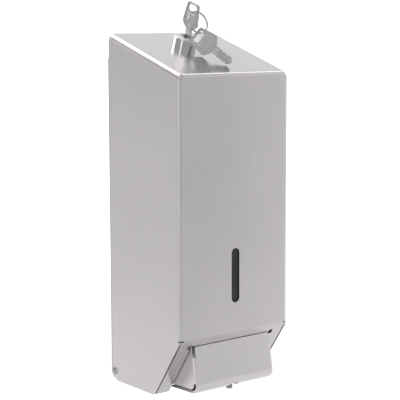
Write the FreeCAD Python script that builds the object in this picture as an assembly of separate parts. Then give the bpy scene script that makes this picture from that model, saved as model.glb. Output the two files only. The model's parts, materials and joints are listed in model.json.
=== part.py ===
import FreeCAD, Part
import math
import os
from FreeCAD import Vector, Rotation, Placement

# Wall mounted lever soap dispenser: folded steel cover hinged at its foot on a back plate, push lever
# in the slanted chin, horizontal lever pump under a soap tank, cam lock with two keys in the roof.
# Millimetres. X to the right, Y into the wall (wall plane y = 0, front faces -Y), Z up.
# Heights below are measured from the foot of the cover; save() moves them to the screw pattern centre.

# ---- driving dimensions -------------------------------------------------------------------------
COVER_W = 120.0            # outside width of the cover
COVER_D = 103.5            # wall to the front face
REAR_GAP = 3.0             # wall to the rear edge of the cover
SHEET = 1.0                # cover sheet thickness
ROOF_FRONT_Z = 275.8       # sharp corner of roof and front
ROOF_SLOPE = 18.2          # degrees, falling to the front
SIDE_TOP_DROP = 3.8        # side sheets end this far below the roof
FOLD_Z = 53.6              # fold where the front turns back into the chin
CHIN_FOOT_Y = -66.0        # chin plane meets the foot level here
BEND_R = 3.3               # outside radius of the sheet bends

SEAM = 1.2                 # open seam between a side sheet and the chin
OPENING_HALF_W = 44.1      # lever opening in the chin
OPENING_TOP = 8.8          # distance down the chin from the fold to the opening
SLOT_W, SLOT_H, SLOT_Z = 8.6, 47.4, 103.0   # sight slot in the front
PANE_HALF_W, PANE_T, PANE_LAP = 8.0, 1.5, 5.0      # smoked strip behind the slot

LEVER_HALF_W = 43.5
LEVER_SHEET = 1.2
LEVER_TOP = (-98.8, 45.5)  # outer face of the lever where it leaves the opening (y, z)
LEVER_TOE = (-106.0, 5.3)  # sharp corner of lever face and lever floor
LEVER_HEEL = (-67.1, 4.2)  # rear edge of the lever floor
LEVER_ROLL_R = 8.0
LEVER_PIVOT = (-93.8, 48.0)
LEVER_PIN_R = 1.5

HINGE = (-6.8, 8.5)        # cover hinge axis (y, z)
HINGE_R = 2.0

PLATE_HALF_W = 58.6
PLATE_T = 1.2
PLATE_TOP_Z = 290.0
MOUNT_Z = 160.0            # height of the wall screw pattern centre
MOUNT_DX, MOUNT_DZ = 76.0, 200.0
MOUNT_HOLE_R = 3.0

TANK_HALF_W = 54.0
TANK_Y0, TANK_Y1 = -96.0, -13.0
TANK_Z0, TANK_Z1 = 58.0, 226.0
TANK_WALL = 2.0
MOUTH_HALF_W, MOUTH_Y0, MOUTH_Y1 = 30.0, -84.0, -50.0
FLAP_AXIS = (-43.5, 231.5)
FLAP_PIN_R = 1.2

PUMP_Z = 24.0              # axis of the pump cylinder
PUMP_Y0, PUMP_Y1 = -78.0, -46.0
CYLINDER_R, BORE_R, ROD_R = 8.0, 6.0, 4.0
SOAP_WAY_R = 2.2           # bore of the rod and of the head
ROD_FRONT_Y, PISTON_REAR_Y = -91.0, -60.5   # ends of the rod at rest
SEAL_R = 4.4               # bottom of the seal's groove
INLET_Y = -58.0
SPOUT_Y = -95.0
SPOUT_R = 2.75
SPOUT_TIP_Z = 2.0
HEAD_Z, HEAD_DOME_R = 22.0, 8.0
HEAD_FRONT_Y = -100.5

LOCK_Y = -35.5             # lock centre on the roof surface
LOCK_HEAD_R, LOCK_HEAD_H = 12.5, 8.0
LOCK_BARREL_R, LOCK_BARREL_L = 8.0, 15.5
PLUG_R = 5.5
CAM_T, CAM_W, CAM_REACH = 2.0, 12.0, 23.0

KEY_T = 2.0
KEY_BOW_L, KEY_BOW_W, KEY_BOW_TOP_W = 24.0, 21.0, 16.0
KEY_LOW, KEY_HIGH = 4.6, 8.0         # the bow is widest between these heights above its foot
KEY_NECK_L, KEY_BLADE_L, KEY_BLADE_W = 7.0, 15.0, 8.0
KEY_HOLE_L, KEY_HOLE_R = 12.0, 3.0
RING_R, RING_WIRE_R = 10.0, 0.8
RING_LEAN = 22.0           # degrees that the ring leans to the front, pushed out by the spare key
SPARE_DIR = (0.935, 0.20, -0.23)    # spare key from bow to tip: down the slope, to the right, off the roof
SPARE_WIDTH = (-0.148, -0.504, -0.852)      # across its width, in the same directions
SPARE_HANG = (1.2, 3.7)    # from the ring's wire to the middle of the spare key's hole, along and across it

# ---- derived values -----------------------------------------------------------------------------
HALF_W = COVER_W / 2
SLOPE = math.radians(ROOF_SLOPE)
FRONT_Y = -COVER_D
REAR_Y = -REAR_GAP
CHIN_DY = CHIN_FOOT_Y - FRONT_Y
CHIN_LENGTH = math.hypot(CHIN_DY, FOLD_Z)
CHIN_DOWN = (CHIN_DY / CHIN_LENGTH, -FOLD_Z / CHIN_LENGTH)      # unit vector down the chin (y, z)
CHIN_IN = (FOLD_Z / CHIN_LENGTH, CHIN_DY / CHIN_LENGTH)         # unit vector into the case
LEVER_LEAN = (LEVER_TOE[0] - LEVER_TOP[0]) / (LEVER_TOP[1] - LEVER_TOE[1])


def roof_z(y, drop=0.0):
    """Height of the roof plane at depth y."""
    return ROOF_FRONT_Z - drop + (y - FRONT_Y) * math.tan(SLOPE)


LOCK_BASE = Vector(0, LOCK_Y, roof_z(LOCK_Y))
LOCK_PLACE = Placement(LOCK_BASE, Rotation(Vector(1, 0, 0), ROOF_SLOPE))


# ---- small helpers ------------------------------------------------------------------------------
def box(x0, x1, y0, y1, z0, z1):
    return Part.makeBox(x1 - x0, y1 - y0, z1 - z0, Vector(x0, y0, z0))


def cyl_x(radius, x0, x1, y, z):
    return Part.makeCylinder(radius, x1 - x0, Vector(x0, y, z), Vector(1, 0, 0))


def cyl_y(radius, y0, y1, x, z):
    return Part.makeCylinder(radius, y1 - y0, Vector(x, y0, z), Vector(0, 1, 0))


def cyl_z(radius, z0, z1, x=0.0, y=0.0):
    return Part.makeCylinder(radius, z1 - z0, Vector(x, y, z0), Vector(0, 0, 1))


def prism_x(points, x0, x1):
    """Prism of a (y, z) outline along X."""
    ring = [Vector(x0, y, z) for y, z in points]
    return Part.Face(Part.makePolygon(ring + ring[:1])).extrude(Vector(x1 - x0, 0, 0))


def prism_z(points, z0, z1):
    """Prism of an (x, y) outline along Z."""
    ring = [Vector(x, y, z0) for x, y in points]
    return Part.Face(Part.makePolygon(ring + ring[:1])).extrude(Vector(0, 0, z1 - z0))


def round_edges(shape, radius, wanted):
    """Fillet the edges whose midpoint and direction pass the test."""
    edges = []
    for edge in shape.Edges:
        if len(edge.Vertexes) == 2:
            a, b = (v.Point for v in edge.Vertexes)
            if (b - a).Length > 1e-6 and wanted((a + b) * 0.5, (b - a).normalize()):
                edges.append(edge)
    return shape.makeFillet(radius, edges) if edges else shape


def both_sides(shape):
    """The shape and its mirror image across x = 0, as separate solids."""
    return [shape, shape.mirror(Vector(0, 0, 0), Vector(1, 0, 0))]


def mirrored(shape):
    return shape.mirror(Vector(0, 0, 0), Vector(1, 0, 0))


def fuse(first, *others):
    result = first
    for other in others:
        result = result.fuse(other)
    return result.removeSplitter()


def chin(along, depth):
    """Point (y, z) at a distance down the chin from the fold and a depth behind its outer face."""
    return (FRONT_Y + along * CHIN_DOWN[0] + depth * CHIN_IN[0],
            FOLD_Z + along * CHIN_DOWN[1] + depth * CHIN_IN[1])


def save(name, *shapes):
    """Write one node, moved so that the origin is the centre of the wall screw pattern."""
    solids = [s for shape in shapes for s in shape.Solids]
    whole = solids[0] if len(solids) == 1 else Part.Compound(solids)
    whole = whole.copy()
    whole.translate(Vector(0, 0, -MOUNT_Z))
    if not whole.isValid():
        print("INVALID", name)
    b = whole.optimalBoundingBox()
    print("%-18s solids %d  x %7.2f %7.2f  y %7.2f %7.2f  z %7.2f %7.2f" % (
        name, len(solids), b.XMin, b.XMax, b.YMin, b.YMax, b.ZMin, b.ZMax))
    whole.exportStep("parts/%s.step" % name)


# ---- cover --------------------------------------------------------------------------------------
def side_outline():
    """Outline (y, z) of a side sheet without the two rounded foot corners."""
    return [(-11.5, 0.0), (CHIN_FOOT_Y, 0.0), (FRONT_Y, FOLD_Z), (FRONT_Y, roof_z(FRONT_Y, SIDE_TOP_DROP)),
            (REAR_Y, roof_z(REAR_Y, SIDE_TOP_DROP)), (REAR_Y, 4.4), (-4.6, 2.6), (-7.0, 1.9)]


def cover_walls():
    """Front and side sheets, one U-shaped fold with rounded vertical bends."""
    tall = 330.0
    outer = box(-HALF_W, HALF_W, FRONT_Y, REAR_Y, -1, tall)
    inner = box(-HALF_W + SHEET, HALF_W - SHEET, FRONT_Y + SHEET, REAR_Y + 1, -2, tall + 1)
    upright_front = lambda mid, way: abs(way.z) > 0.99 and mid.y < -90
    outer = round_edges(outer, BEND_R, upright_front)
    inner = round_edges(inner, BEND_R - SHEET, upright_front)
    walls = outer.cut(inner)
    profile = prism_x(side_outline(), -HALF_W - 1, HALF_W + 1)
    foot = lambda mid, way: abs(way.x) > 0.99 and abs(mid.z) < 0.1 and mid.y < -60
    return walls.common(round_edges(profile, 5.0, foot))


def roof_block(half_w, inset, radius):
    """Solid under the roof plane; its skin is the roof sheet with flanges turned down all round."""
    y0, y1 = FRONT_Y + inset, REAR_Y - inset
    drop = inset / math.cos(SLOPE)
    block = prism_x([(y0, 230), (y0, roof_z(y0, drop)), (y1, roof_z(y1, drop)), (y1, 230)],
                    -half_w + inset, half_w - inset)
    ridge = lambda mid, way: mid.z > 260 and abs(way.x) < 0.5 and abs(way.z) < 0.6 and abs(mid.x) > 40
    brow = lambda mid, way: mid.z > 260 and abs(way.x) > 0.99 and mid.y < -90
    upright = lambda mid, way: abs(way.z) > 0.99 and mid.y < -90
    block = round_edges(block, radius, upright)
    return round_edges(block, radius, lambda mid, way: ridge(mid, way) or brow(mid, way))


def cover_roof():
    half_w = HALF_W - SHEET - 0.5
    flange = 13.0
    sheet = roof_block(half_w, 0.0, BEND_R).cut(roof_block(half_w, SHEET, BEND_R - SHEET))
    keep = prism_x([(FRONT_Y - 1, roof_z(FRONT_Y - 1, flange)), (FRONT_Y - 1, 330), (1, 330),
                    (1, roof_z(1, flange))], -HALF_W, HALF_W)
    sheet = sheet.common(keep)
    welds = []
    for y in (-88.0, -52.0, -16.0):
        z = roof_z(y, 9.5)
        welds += both_sides(cyl_x(2.5, half_w - 0.5, HALF_W - SHEET / 2, y, z))
    return [sheet] + welds


def chin_band(x0, x1, along0, along1):
    return prism_x([chin(along0, 0), chin(along1, 0), chin(along1, SHEET), chin(along0, SHEET)], x0, x1)


def cover_chin():
    """Slanted strips beside the lever opening, the band above it and the feet of the strips."""
    strip_out = HALF_W - SHEET - SEAM
    band = chin_band(-strip_out, strip_out, 0.0, OPENING_TOP)
    fold = prism_x([(FRONT_Y, FOLD_Z + 2), (FRONT_Y, FOLD_Z), chin(1.5, 0), chin(1.5, SHEET),
                    (FRONT_Y + SHEET, FOLD_Z + 2)], -strip_out, strip_out)
    pieces = [band, fold]
    strip = chin_band(OPENING_HALF_W, strip_out, 0.0, CHIN_LENGTH - 0.4)
    relief = prism_x([chin(OPENING_TOP - 1.6, -1), chin(OPENING_TOP + 3.2, -1),
                      chin(OPENING_TOP + 3.2, 2), chin(OPENING_TOP - 1.6, 2)],
                     OPENING_HALF_W - 1, OPENING_HALF_W + 2.6)
    strip = strip.cut(relief)
    foot_y = chin(CHIN_LENGTH, 0)[0]
    foot = box(OPENING_HALF_W, strip_out, foot_y, -54.0, 0.35, 0.35 + SHEET)
    tab = box(strip_out - 1, HALF_W - SHEET / 2, -64.0, -56.0, 0.35, 0.35 + SHEET)
    for shape in (strip, foot, tab):
        pieces += both_sides(shape)
    return pieces, relief


def make_cover():
    cover = cover_walls()
    chin_pieces, relief = cover_chin()
    cover = fuse(cover, *cover_roof(), *chin_pieces)
    for cut in both_sides(relief):
        cover = cover.cut(cut)
    slot = fuse(box(-SLOT_W / 2, SLOT_W / 2, FRONT_Y - 1, FRONT_Y + 2,
                    SLOT_Z - SLOT_H / 2 + SLOT_W / 2, SLOT_Z + SLOT_H / 2 - SLOT_W / 2),
                cyl_y(SLOT_W / 2, FRONT_Y - 1, FRONT_Y + 2, 0, SLOT_Z - SLOT_H / 2 + SLOT_W / 2),
                cyl_y(SLOT_W / 2, FRONT_Y - 1, FRONT_Y + 2, 0, SLOT_Z + SLOT_H / 2 - SLOT_W / 2))
    cover = cover.cut(slot)
    corner_relief = box(HALF_W - 4.5, HALF_W + 1, FRONT_Y - 1, FRONT_Y + 3.2, FOLD_Z - 0.6, FOLD_Z + 0.6)
    for cut in both_sides(corner_relief):
        cover = cover.cut(cut)
    for cut in both_sides(cyl_x(HINGE_R + 0.05, HALF_W - 2, HALF_W + 1, *HINGE)):
        cover = cover.cut(cut)
    lock_hole = cyl_z(LOCK_BARREL_R + 0.05, -6, 6)
    lock_hole.Placement = LOCK_PLACE
    return cover.cut(lock_hole)


def make_window():
    """Smoked strip glued behind the sight slot."""
    half_h = SLOT_H / 2 + PANE_LAP
    y0 = FRONT_Y + SHEET
    pane = box(-PANE_HALF_W, PANE_HALF_W, y0, y0 + PANE_T, SLOT_Z - half_h, SLOT_Z + half_h)
    return round_edges(pane, 2.5, lambda mid, way: abs(way.y) > 0.99)


# ---- push lever ---------------------------------------------------------------------------------
def lever_front_y(z, inset=0.0):
    """Depth of the lever face at height z, inset measured square to the face."""
    return LEVER_TOP[0] - (LEVER_TOP[1] - z) * -LEVER_LEAN + inset * math.hypot(1, LEVER_LEAN)


def lever_outline(inset, rear):
    """Closed (y, z) outline of the lever box; rear is how far it reaches behind the chin plane."""
    toe_z = LEVER_TOE[1] + inset
    heel = (LEVER_HEEL[0], LEVER_HEEL[1] + inset)
    top, rear_top = (LEVER_TOP[1] - 0.6, 12.0) if inset == 0 else (LEVER_TOP[1] + 6.0, 2.0)
    return [(lever_front_y(top, inset), top), (lever_front_y(toe_z, inset), toe_z), heel,
            chin(55.0, rear), chin(rear_top, rear)]


def rounded_lever(inset, half_w, rear, roll_r, bend_r):
    body = prism_x(lever_outline(inset, rear), -half_w, half_w)
    toe = lambda mid, way: abs(way.x) > 0.99 and mid.y < -100 and mid.z < 12
    body = round_edges(body, roll_r, toe)
    face = lambda mid, way: abs(way.x) < 0.01 and way.z * way.z > 0.9 and mid.y < -99
    return round_edges(body, bend_r, face)


def make_lever():
    skin = rounded_lever(0.0, LEVER_HALF_W, 6.0, LEVER_ROLL_R, 2.4)
    hollow = rounded_lever(LEVER_SHEET, LEVER_HALF_W - LEVER_SHEET, 12.0, LEVER_ROLL_R - LEVER_SHEET, 1.2)
    shell = skin.cut(hollow)
    # open gap between each wing and the rolled floor
    gap = 2.6
    upper = prism_x(lever_outline(LEVER_SHEET + gap, 12.0), -50, 50)
    toe = lambda mid, way: abs(way.x) > 0.99 and mid.y < -98 and mid.z < 12
    upper = round_edges(upper, LEVER_ROLL_R - LEVER_SHEET - gap, toe)
    lower = prism_x(lever_outline(LEVER_SHEET, 12.0), -50, 50)
    lower = round_edges(lower, LEVER_ROLL_R - LEVER_SHEET, toe)
    band = lower.cut(upper)
    roll_top = 14.6
    band = band.common(box(-50, 50, -120, -50, -5, roll_top))
    inner_half = LEVER_HALF_W - LEVER_SHEET - 0.01
    keep_middle = box(-inner_half, inner_half, -120, -40, -10, 60)
    shell = shell.cut(band.cut(keep_middle))
    # slits that part the wing from the face at the top of the bend
    slit_z0, slit_z1, slit_w = LEVER_TOP[1] - 8.5, LEVER_TOP[1] + 16.0, 2.6
    slit = prism_x([(lever_front_y(slit_z0) - 2, slit_z0), (lever_front_y(slit_z0) + slit_w, slit_z0),
                    (lever_front_y(slit_z1) + slit_w, slit_z1), (lever_front_y(slit_z1) - 2, slit_z1)],
                   LEVER_HALF_W - slit_w, LEVER_HALF_W + 1)
    for cut in both_sides(slit):
        shell = shell.cut(cut)
    # face carried up behind the band and curled round the pins
    py, pz = LEVER_PIVOT
    knuckle_r = 3.1
    lip_half_w = LEVER_HALF_W - 3.0
    lip_z0, lip_z1 = LEVER_TOP[1] - 3.0, LEVER_TOP[1] + 0.2
    lip = prism_x([(lever_front_y(lip_z0), lip_z0), (lever_front_y(lip_z0, LEVER_SHEET), lip_z0),
                   (py - 2.9, pz - 2.3), (py - 3.1, pz - 1.3), (lever_front_y(lip_z1), lip_z1)],
                  -lip_half_w, lip_half_w)
    neck = prism_x([(py - 3.4, pz - 3.2), (py - 1.5, pz - 2.6), (py - 1.5, pz), (py - 3.05, pz)],
                   -38.5, 38.5)
    strips = [neck.common(box(x0, x0 + 16.5, -120, -60, 30, 60)) for x0 in (-38.5, 22.0)] + [lip]
    knuckles = both_sides(cyl_x(knuckle_r, 22.0, 38.5, py, pz))
    shell = fuse(shell, *strips, *knuckles)
    for bore in both_sides(cyl_x(LEVER_PIN_R + 0.05, 20.0, 40.0, py, pz)):
        shell = shell.cut(bore)
    # tabs on the wings that stop the lever behind the strips
    tab_profile = prism_x([chin(36.0, SHEET + 0.4), chin(44.0, SHEET + 0.4), chin(44.0, SHEET + 1.6),
                           chin(36.0, SHEET + 1.6)], LEVER_HALF_W - LEVER_SHEET / 2, LEVER_HALF_W + 4.0)
    shell = fuse(shell, *both_sides(tab_profile))
    # way through the floor for the spout
    spout_way = fuse(box(-4.5, 4.5, -102.4, -90.5, -5, 9.0), cyl_z(4.5, -5, 9.0, 0, -90.5))
    return shell.cut(spout_way)


def make_push_pad():
    """Rubber pad inside the lever face that meets the pump head."""
    z0, z1, face_y = 16.5, 25.5, -100.9
    return prism_x([(lever_front_y(z0, LEVER_SHEET), z0), (face_y, z0), (face_y, z1),
                    (lever_front_y(z1, LEVER_SHEET), z1)], -7.0, 7.0)


def make_lever_bracket():
    """Cranked bracket inside the front sheet with two ears for one lever pin (right-hand one)."""
    y0 = FRONT_Y + SHEET
    py, pz = LEVER_PIVOT
    top_z = FOLD_Z + 12.0
    base = box(20.0, 40.7, y0, y0 + 1.2, FOLD_Z + 2.0, top_z)
    ear = prism_x([(y0, top_z), (y0, FOLD_Z + 2.5), chin(4.0, SHEET + 0.05),
                   (py - 2.6, pz + 1.2), (py - 2.5, pz - 0.6), (py - 1.4, pz - 2.6), (py + 2.6, pz - 2.4),
                   (py + 3.4, pz + 2.0), (py + 1.8, pz + 8.0), (y0 + 5.5, pz + 10.5), (y0 + 5.5, top_z)],
                  20.0, 21.2)
    far = ear.copy()
    far.translate(Vector(19.5, 0, 0))
    bracket = fuse(base, ear, far)
    return bracket.cut(cyl_x(LEVER_PIN_R + 0.01, 15.0, 45.0, py, pz))


def make_lever_pin():
    py, pz = LEVER_PIVOT
    pin = fuse(cyl_x(LEVER_PIN_R, 18.0, 41.2, py, pz), cyl_x(2.6, 40.75, 41.7, py, pz))
    groove = cyl_x(3.0, 19.0, 19.6, py, pz).cut(cyl_x(1.15, 18.9, 19.7, py, pz))
    return pin.cut(groove)


def make_pin_clip():
    py, pz = LEVER_PIVOT
    ring = cyl_x(3.0, 19.05, 19.55, py, pz).cut(cyl_x(1.17, 19.0, 19.6, py, pz))
    return ring.cut(box(19.0, 19.6, py - 0.9, py + 0.9, pz - 4, pz))


# ---- back plate ---------------------------------------------------------------------------------
def make_back_plate():
    plate = box(-PLATE_HALF_W, PLATE_HALF_W, -PLATE_T, 0, 2.5, PLATE_TOP_Z)
    plate = round_edges(plate, 4.0, lambda mid, way: abs(way.y) > 0.99)
    ear = prism_x([(-0.6, 3.0), (-9.0, 3.0), (-12.5, 6.0), (-12.5, 14.0), (-6.0, 24.0), (-0.6, 24.0)],
                  56.4, 57.6)
    plate = fuse(plate, *both_sides(ear))
    for hole in both_sides(cyl_x(HINGE_R, 50.0, 58.5, *HINGE)):
        plate = plate.cut(hole)
    for x in (-MOUNT_DX / 2, MOUNT_DX / 2):
        for z in (MOUNT_Z - MOUNT_DZ / 2, MOUNT_Z + MOUNT_DZ / 2):
            plate = plate.cut(cyl_y(MOUNT_HOLE_R, -3, 1, x, z))
    for x, z in rivet_places():
        plate = plate.cut(cyl_y(1.6, -3, 1, x, z))
    return plate


def rivet_places():
    """Blind rivets (x, z) that hold the shelf and the lock catch to the back plate."""
    return [(-24.0, 50.0), (24.0, 50.0), (17.0, LOCK_BASE.z - 44.5), (17.0, LOCK_BASE.z - 32.5)]


def make_plate_rivets():
    rivets = []
    for x, z in rivet_places():
        inner_face = -PLATE_T - 1.5
        shank = cyl_y(1.6, inner_face, -0.4, x, z)
        head = cyl_y(3.2, inner_face - 1.0, inner_face, x, z)
        rivets.append(fuse(shank, head))
    return rivets


def make_hinge_rivet():
    """Domed rivet: head outside the cover, shank through the side sheet, washer, tail in the ear."""
    y, z = HINGE
    head_r, head_h = 3.7, 1.7
    ball_r = (head_r ** 2 + head_h ** 2) / (2 * head_h)
    ball = Part.makeSphere(ball_r, Vector(HALF_W + 0.1 + head_h - ball_r, y, z))
    dome = ball.common(box(HALF_W + 0.1, HALF_W + 3, y - 5, y + 5, z - 5, z + 5))
    shank = cyl_x(HINGE_R, 55.6, HALF_W + 0.2, y, z)
    tail = cyl_x(3.2, 55.2, 56.4, y, z)
    return fuse(dome, shank, tail)


def make_hinge_washer():
    y, z = HINGE
    return cyl_x(4.0, 57.6, 58.7, y, z).cut(cyl_x(HINGE_R, 57.0, 59.5, y, z))


def make_shelf():
    """Cranked shelf that carries the tank, with side cheeks and the hole for its neck."""
    t = 1.5
    z1 = TANK_Z0 - 0.2
    shelf = box(-50, 50, -88.0, -PLATE_T, z1 - t, z1)
    rear = box(-50, 50, -PLATE_T - t, -PLATE_T, 42.0, z1)
    cheek = prism_x([(-PLATE_T, 42.0), (-PLATE_T, z1), (-80.0, z1), (-80.0, z1 - 3.0), (-14.0, 42.0)],
                    48.5, 50.0)
    shelf = fuse(shelf, rear, *both_sides(cheek))
    shelf = shelf.cut(cyl_z(18.5, z1 - t - 1, z1 + 1, 0, INLET_Y))
    for x, z in rivet_places()[:2]:
        shelf = shelf.cut(cyl_y(1.6, -4, 1, x, z))
    return shelf


def make_lock_catch():
    """Hooked catch on the back plate; the lock cam turns in behind its upturned lip."""
    t = 1.5
    x0, x1 = 12.5, 21.5
    arm_z = LOCK_BASE.z - 26.0
    rear = box(x0, x1, -PLATE_T - t, -PLATE_T, arm_z - 24.5, arm_z + t)
    lip_y = LOCK_Y - 3.3
    arm = box(x0, x1, lip_y, -PLATE_T, arm_z, arm_z + t)
    lip = box(x0, x1, lip_y, lip_y + t, arm_z, arm_z + 10.0)
    catch = fuse(rear, arm, lip)
    for x, z in rivet_places()[2:]:
        catch = catch.cut(cyl_y(1.6, -4, 1, x, z))
    return catch


# ---- tank ---------------------------------------------------------------------------------------
def make_tank():
    def block(inset, radius):
        body = box(-TANK_HALF_W + inset, TANK_HALF_W - inset, TANK_Y0 + inset, TANK_Y1 - inset,
                   TANK_Z0 + inset, TANK_Z1 - inset)
        return body.makeFillet(radius, body.Edges)
    outer = block(0.0, 7.0)
    collar = box(-MOUTH_HALF_W - 2, MOUTH_HALF_W + 2, MOUTH_Y0 - 2, MOUTH_Y1 + 2, TANK_Z1 - 1, TANK_Z1 + 3.0)
    neck_r = 13.0
    neck = cyl_z(neck_r, 47.0, TANK_Z0 + 1, 0, INLET_Y)
    y, z = FLAP_AXIS
    ears = both_sides(box(18.0, 22.0, y - 2.2, y + 2.2, TANK_Z1 - 1, z + 2.2))
    tank = fuse(outer, collar, neck, *ears)
    tank = tank.cut(block(TANK_WALL, 5.0))
    tank = tank.cut(box(-MOUTH_HALF_W, MOUTH_HALF_W, MOUTH_Y0, MOUTH_Y1, TANK_Z1 - 5, TANK_Z1 + 5))
    tank = tank.cut(cyl_z(neck_r - 2.5, 40.0, TANK_Z0 + 5, 0, INLET_Y))
    return tank.cut(cyl_x(FLAP_PIN_R + 0.05, -25, 25, y, z))


def make_flap():
    """Fill flap over the tank mouth, with hinge barrel and finger tab."""
    y, z = FLAP_AXIS
    z0 = TANK_Z1 + 3.3
    plate = box(-MOUTH_HALF_W - 3, MOUTH_HALF_W + 3, MOUTH_Y0 - 3, MOUTH_Y1 + 3.0, z0, z0 + 2.2)
    plate = round_edges(plate, 2.5, lambda mid, way: abs(way.z) > 0.99)
    tab = box(-9, 9, MOUTH_Y0 - 8, MOUTH_Y0 - 2.5, z0, z0 + 1.6)
    plug = box(-MOUTH_HALF_W + 1.2, MOUTH_HALF_W - 1.2, MOUTH_Y0 + 2.5, MOUTH_Y1 - 1.2, z0 - 2.0, z0 + 0.5)
    plug = plug.cut(box(-MOUTH_HALF_W + 2.7, MOUTH_HALF_W - 2.7, MOUTH_Y0 + 4.0, MOUTH_Y1 - 2.7, z0 - 3, z0))
    barrel = cyl_x(2.2, -17.5, 17.5, y, z)
    web = box(-17.5, 17.5, MOUTH_Y1 + 2.5, y, z0 + 0.2, z0 + 2.0)
    flap = fuse(plate, tab, plug, web, barrel)
    return flap.cut(cyl_x(FLAP_PIN_R + 0.05, -20, 20, y, z))


def make_flap_pin():
    return cyl_x(FLAP_PIN_R, -22.5, 22.5, *FLAP_AXIS)


# ---- pump ---------------------------------------------------------------------------------------
def make_pump_body():
    outer = cyl_y(CYLINDER_R, PUMP_Y0, PUMP_Y1, 0, PUMP_Z)
    riser = cyl_z(7.0, PUMP_Z, 56.0, 0, INLET_Y)
    flange = cyl_z(12.6, 43.6, 46.0, 0, INLET_Y)
    body = fuse(outer, riser, flange)
    body = body.cut(cyl_y(BORE_R, PUMP_Y0 - 1, PUMP_Y1 - 2.5, 0, PUMP_Z))
    body = body.cut(cyl_z(4.0, PUMP_Z, 50.0, 0, INLET_Y))
    return body.cut(cyl_z(5.0, 50.0, 57.0, 0, INLET_Y))


def make_pump_gland():
    """Screwed front guide of the pump cylinder."""
    cap = cyl_y(10.0, PUMP_Y0 - 2.5, PUMP_Y0 + 4.0, 0, PUMP_Z)
    cap = cap.cut(cyl_y(CYLINDER_R, PUMP_Y0, PUMP_Y0 + 5, 0, PUMP_Z))
    guide = cyl_y(BORE_R - 0.1, PUMP_Y0 - 1, PUMP_Y0 + 3.0, 0, PUMP_Z)
    return fuse(cap, guide).cut(cyl_y(ROD_R + 0.05, PUMP_Y0 - 4, PUMP_Y0 + 6, 0, PUMP_Z))


def make_pump_nut():
    """Ribbed union nut that clamps the pump flange to the tank neck."""
    ribs = 18
    nut = cyl_z(15.6, 41.6, 55.6, 0, INLET_Y)
    for i in range(ribs):
        turn = 2 * math.pi * i / ribs
        nut = nut.fuse(cyl_z(0.9, 42.6, 55.0, 15.4 * math.sin(turn), INLET_Y + 15.4 * math.cos(turn)))
    nut = nut.cut(cyl_z(13.0, 43.6, 58.0, 0, INLET_Y))
    return nut.cut(cyl_z(7.6, 40.0, 45.0, 0, INLET_Y)).removeSplitter()


def make_neck_gasket():
    return cyl_z(12.6, 46.0, 47.0, 0, INLET_Y).cut(cyl_z(7.0, 45.0, 48.0, 0, INLET_Y))


def make_inlet_valve():
    """Rubber flap disc over the riser mouth."""
    return fuse(cyl_z(4.8, 50.1, 51.1, 0, INLET_Y), cyl_z(1.2, 51.1, 54.0, 0, INLET_Y))


def make_pump_piston():
    """Hollow rod with the piston land at its rear end."""
    rear = PISTON_REAR_Y
    rod = fuse(cyl_y(ROD_R, ROD_FRONT_Y, rear, 0, PUMP_Z), cyl_y(BORE_R - 0.4, rear - 6.0, rear, 0, PUMP_Z))
    groove = cyl_y(BORE_R, rear - 4.2, rear - 2.0, 0, PUMP_Z)
    groove = groove.cut(cyl_y(SEAL_R, rear - 5, rear - 1, 0, PUMP_Z))
    return rod.cut(groove).cut(cyl_y(SOAP_WAY_R, ROD_FRONT_Y - 1, rear + 1, 0, PUMP_Z))


def make_piston_seal():
    rear = PISTON_REAR_Y
    ring = cyl_y(BORE_R - 0.1, rear - 4.1, rear - 2.1, 0, PUMP_Z)
    return ring.cut(cyl_y(SEAL_R, rear - 5, rear - 1, 0, PUMP_Z))


def make_pump_head():
    """Domed head on the rod; soap turns down through it to the spout."""
    centre_y = HEAD_FRONT_Y + HEAD_DOME_R
    dome = cyl_x(HEAD_DOME_R, -7.0, 7.0, centre_y, HEAD_Z).common(box(-8, 8, -120, centre_y, 0, 60))
    block = box(-7.0, 7.0, centre_y, ROD_FRONT_Y + 0.1, HEAD_Z - HEAD_DOME_R, HEAD_Z + HEAD_DOME_R)
    head = fuse(dome, block)
    head = round_edges(head, 1.2, lambda mid, way: abs(abs(mid.x) - 7.0) < 0.01 and mid.y > -92)
    socket = cyl_y(5.0, ROD_FRONT_Y + 0.1, -88.5, 0, PUMP_Z)
    stem = cyl_z(4.2, 10.5, HEAD_Z, 0, SPOUT_Y)
    head = fuse(head, socket, stem)
    head = head.cut(cyl_y(ROD_R, ROD_FRONT_Y, -88.0, 0, PUMP_Z))
    head = head.cut(cyl_y(SOAP_WAY_R, SPOUT_Y, -90.0, 0, PUMP_Z))
    head = head.cut(cyl_z(SOAP_WAY_R, 9.0, PUMP_Z, 0, SPOUT_Y))
    return head.cut(cyl_z(3.2, 9.0, 15.0, 0, SPOUT_Y))


def make_spout():
    """Nozzle pressed up into the head."""
    nozzle = fuse(cyl_z(3.2, 10.5, 15.0, 0, SPOUT_Y), cyl_z(SPOUT_R, SPOUT_TIP_Z, 11.0, 0, SPOUT_Y))
    return nozzle.cut(cyl_z(1.5, SPOUT_TIP_Z - 1, 16.0, 0, SPOUT_Y))


def make_pump_spring():
    """Return spring round the rod between gland and head socket."""
    wire_r, coil_r, turns = 0.5, 6.2, 2.0
    start, end = -87.9, PUMP_Y0 - 3.1
    pitch = (end - start) / turns
    helix = Part.makeHelix(pitch, end - start, coil_r)
    circle = Part.Wire(Part.makeCircle(wire_r, Vector(coil_r, 0, 0), Vector(0, 1, 0)))
    coil = Part.Wire(helix).makePipeShell([circle], True, True)
    coil.Placement = Placement(Vector(0, start, PUMP_Z), Rotation(Vector(1, 0, 0), -90))
    return coil


# ---- lock ---------------------------------------------------------------------------------------
def lock_local(shape):
    shape.Placement = LOCK_PLACE.multiply(shape.Placement)
    return shape


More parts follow.
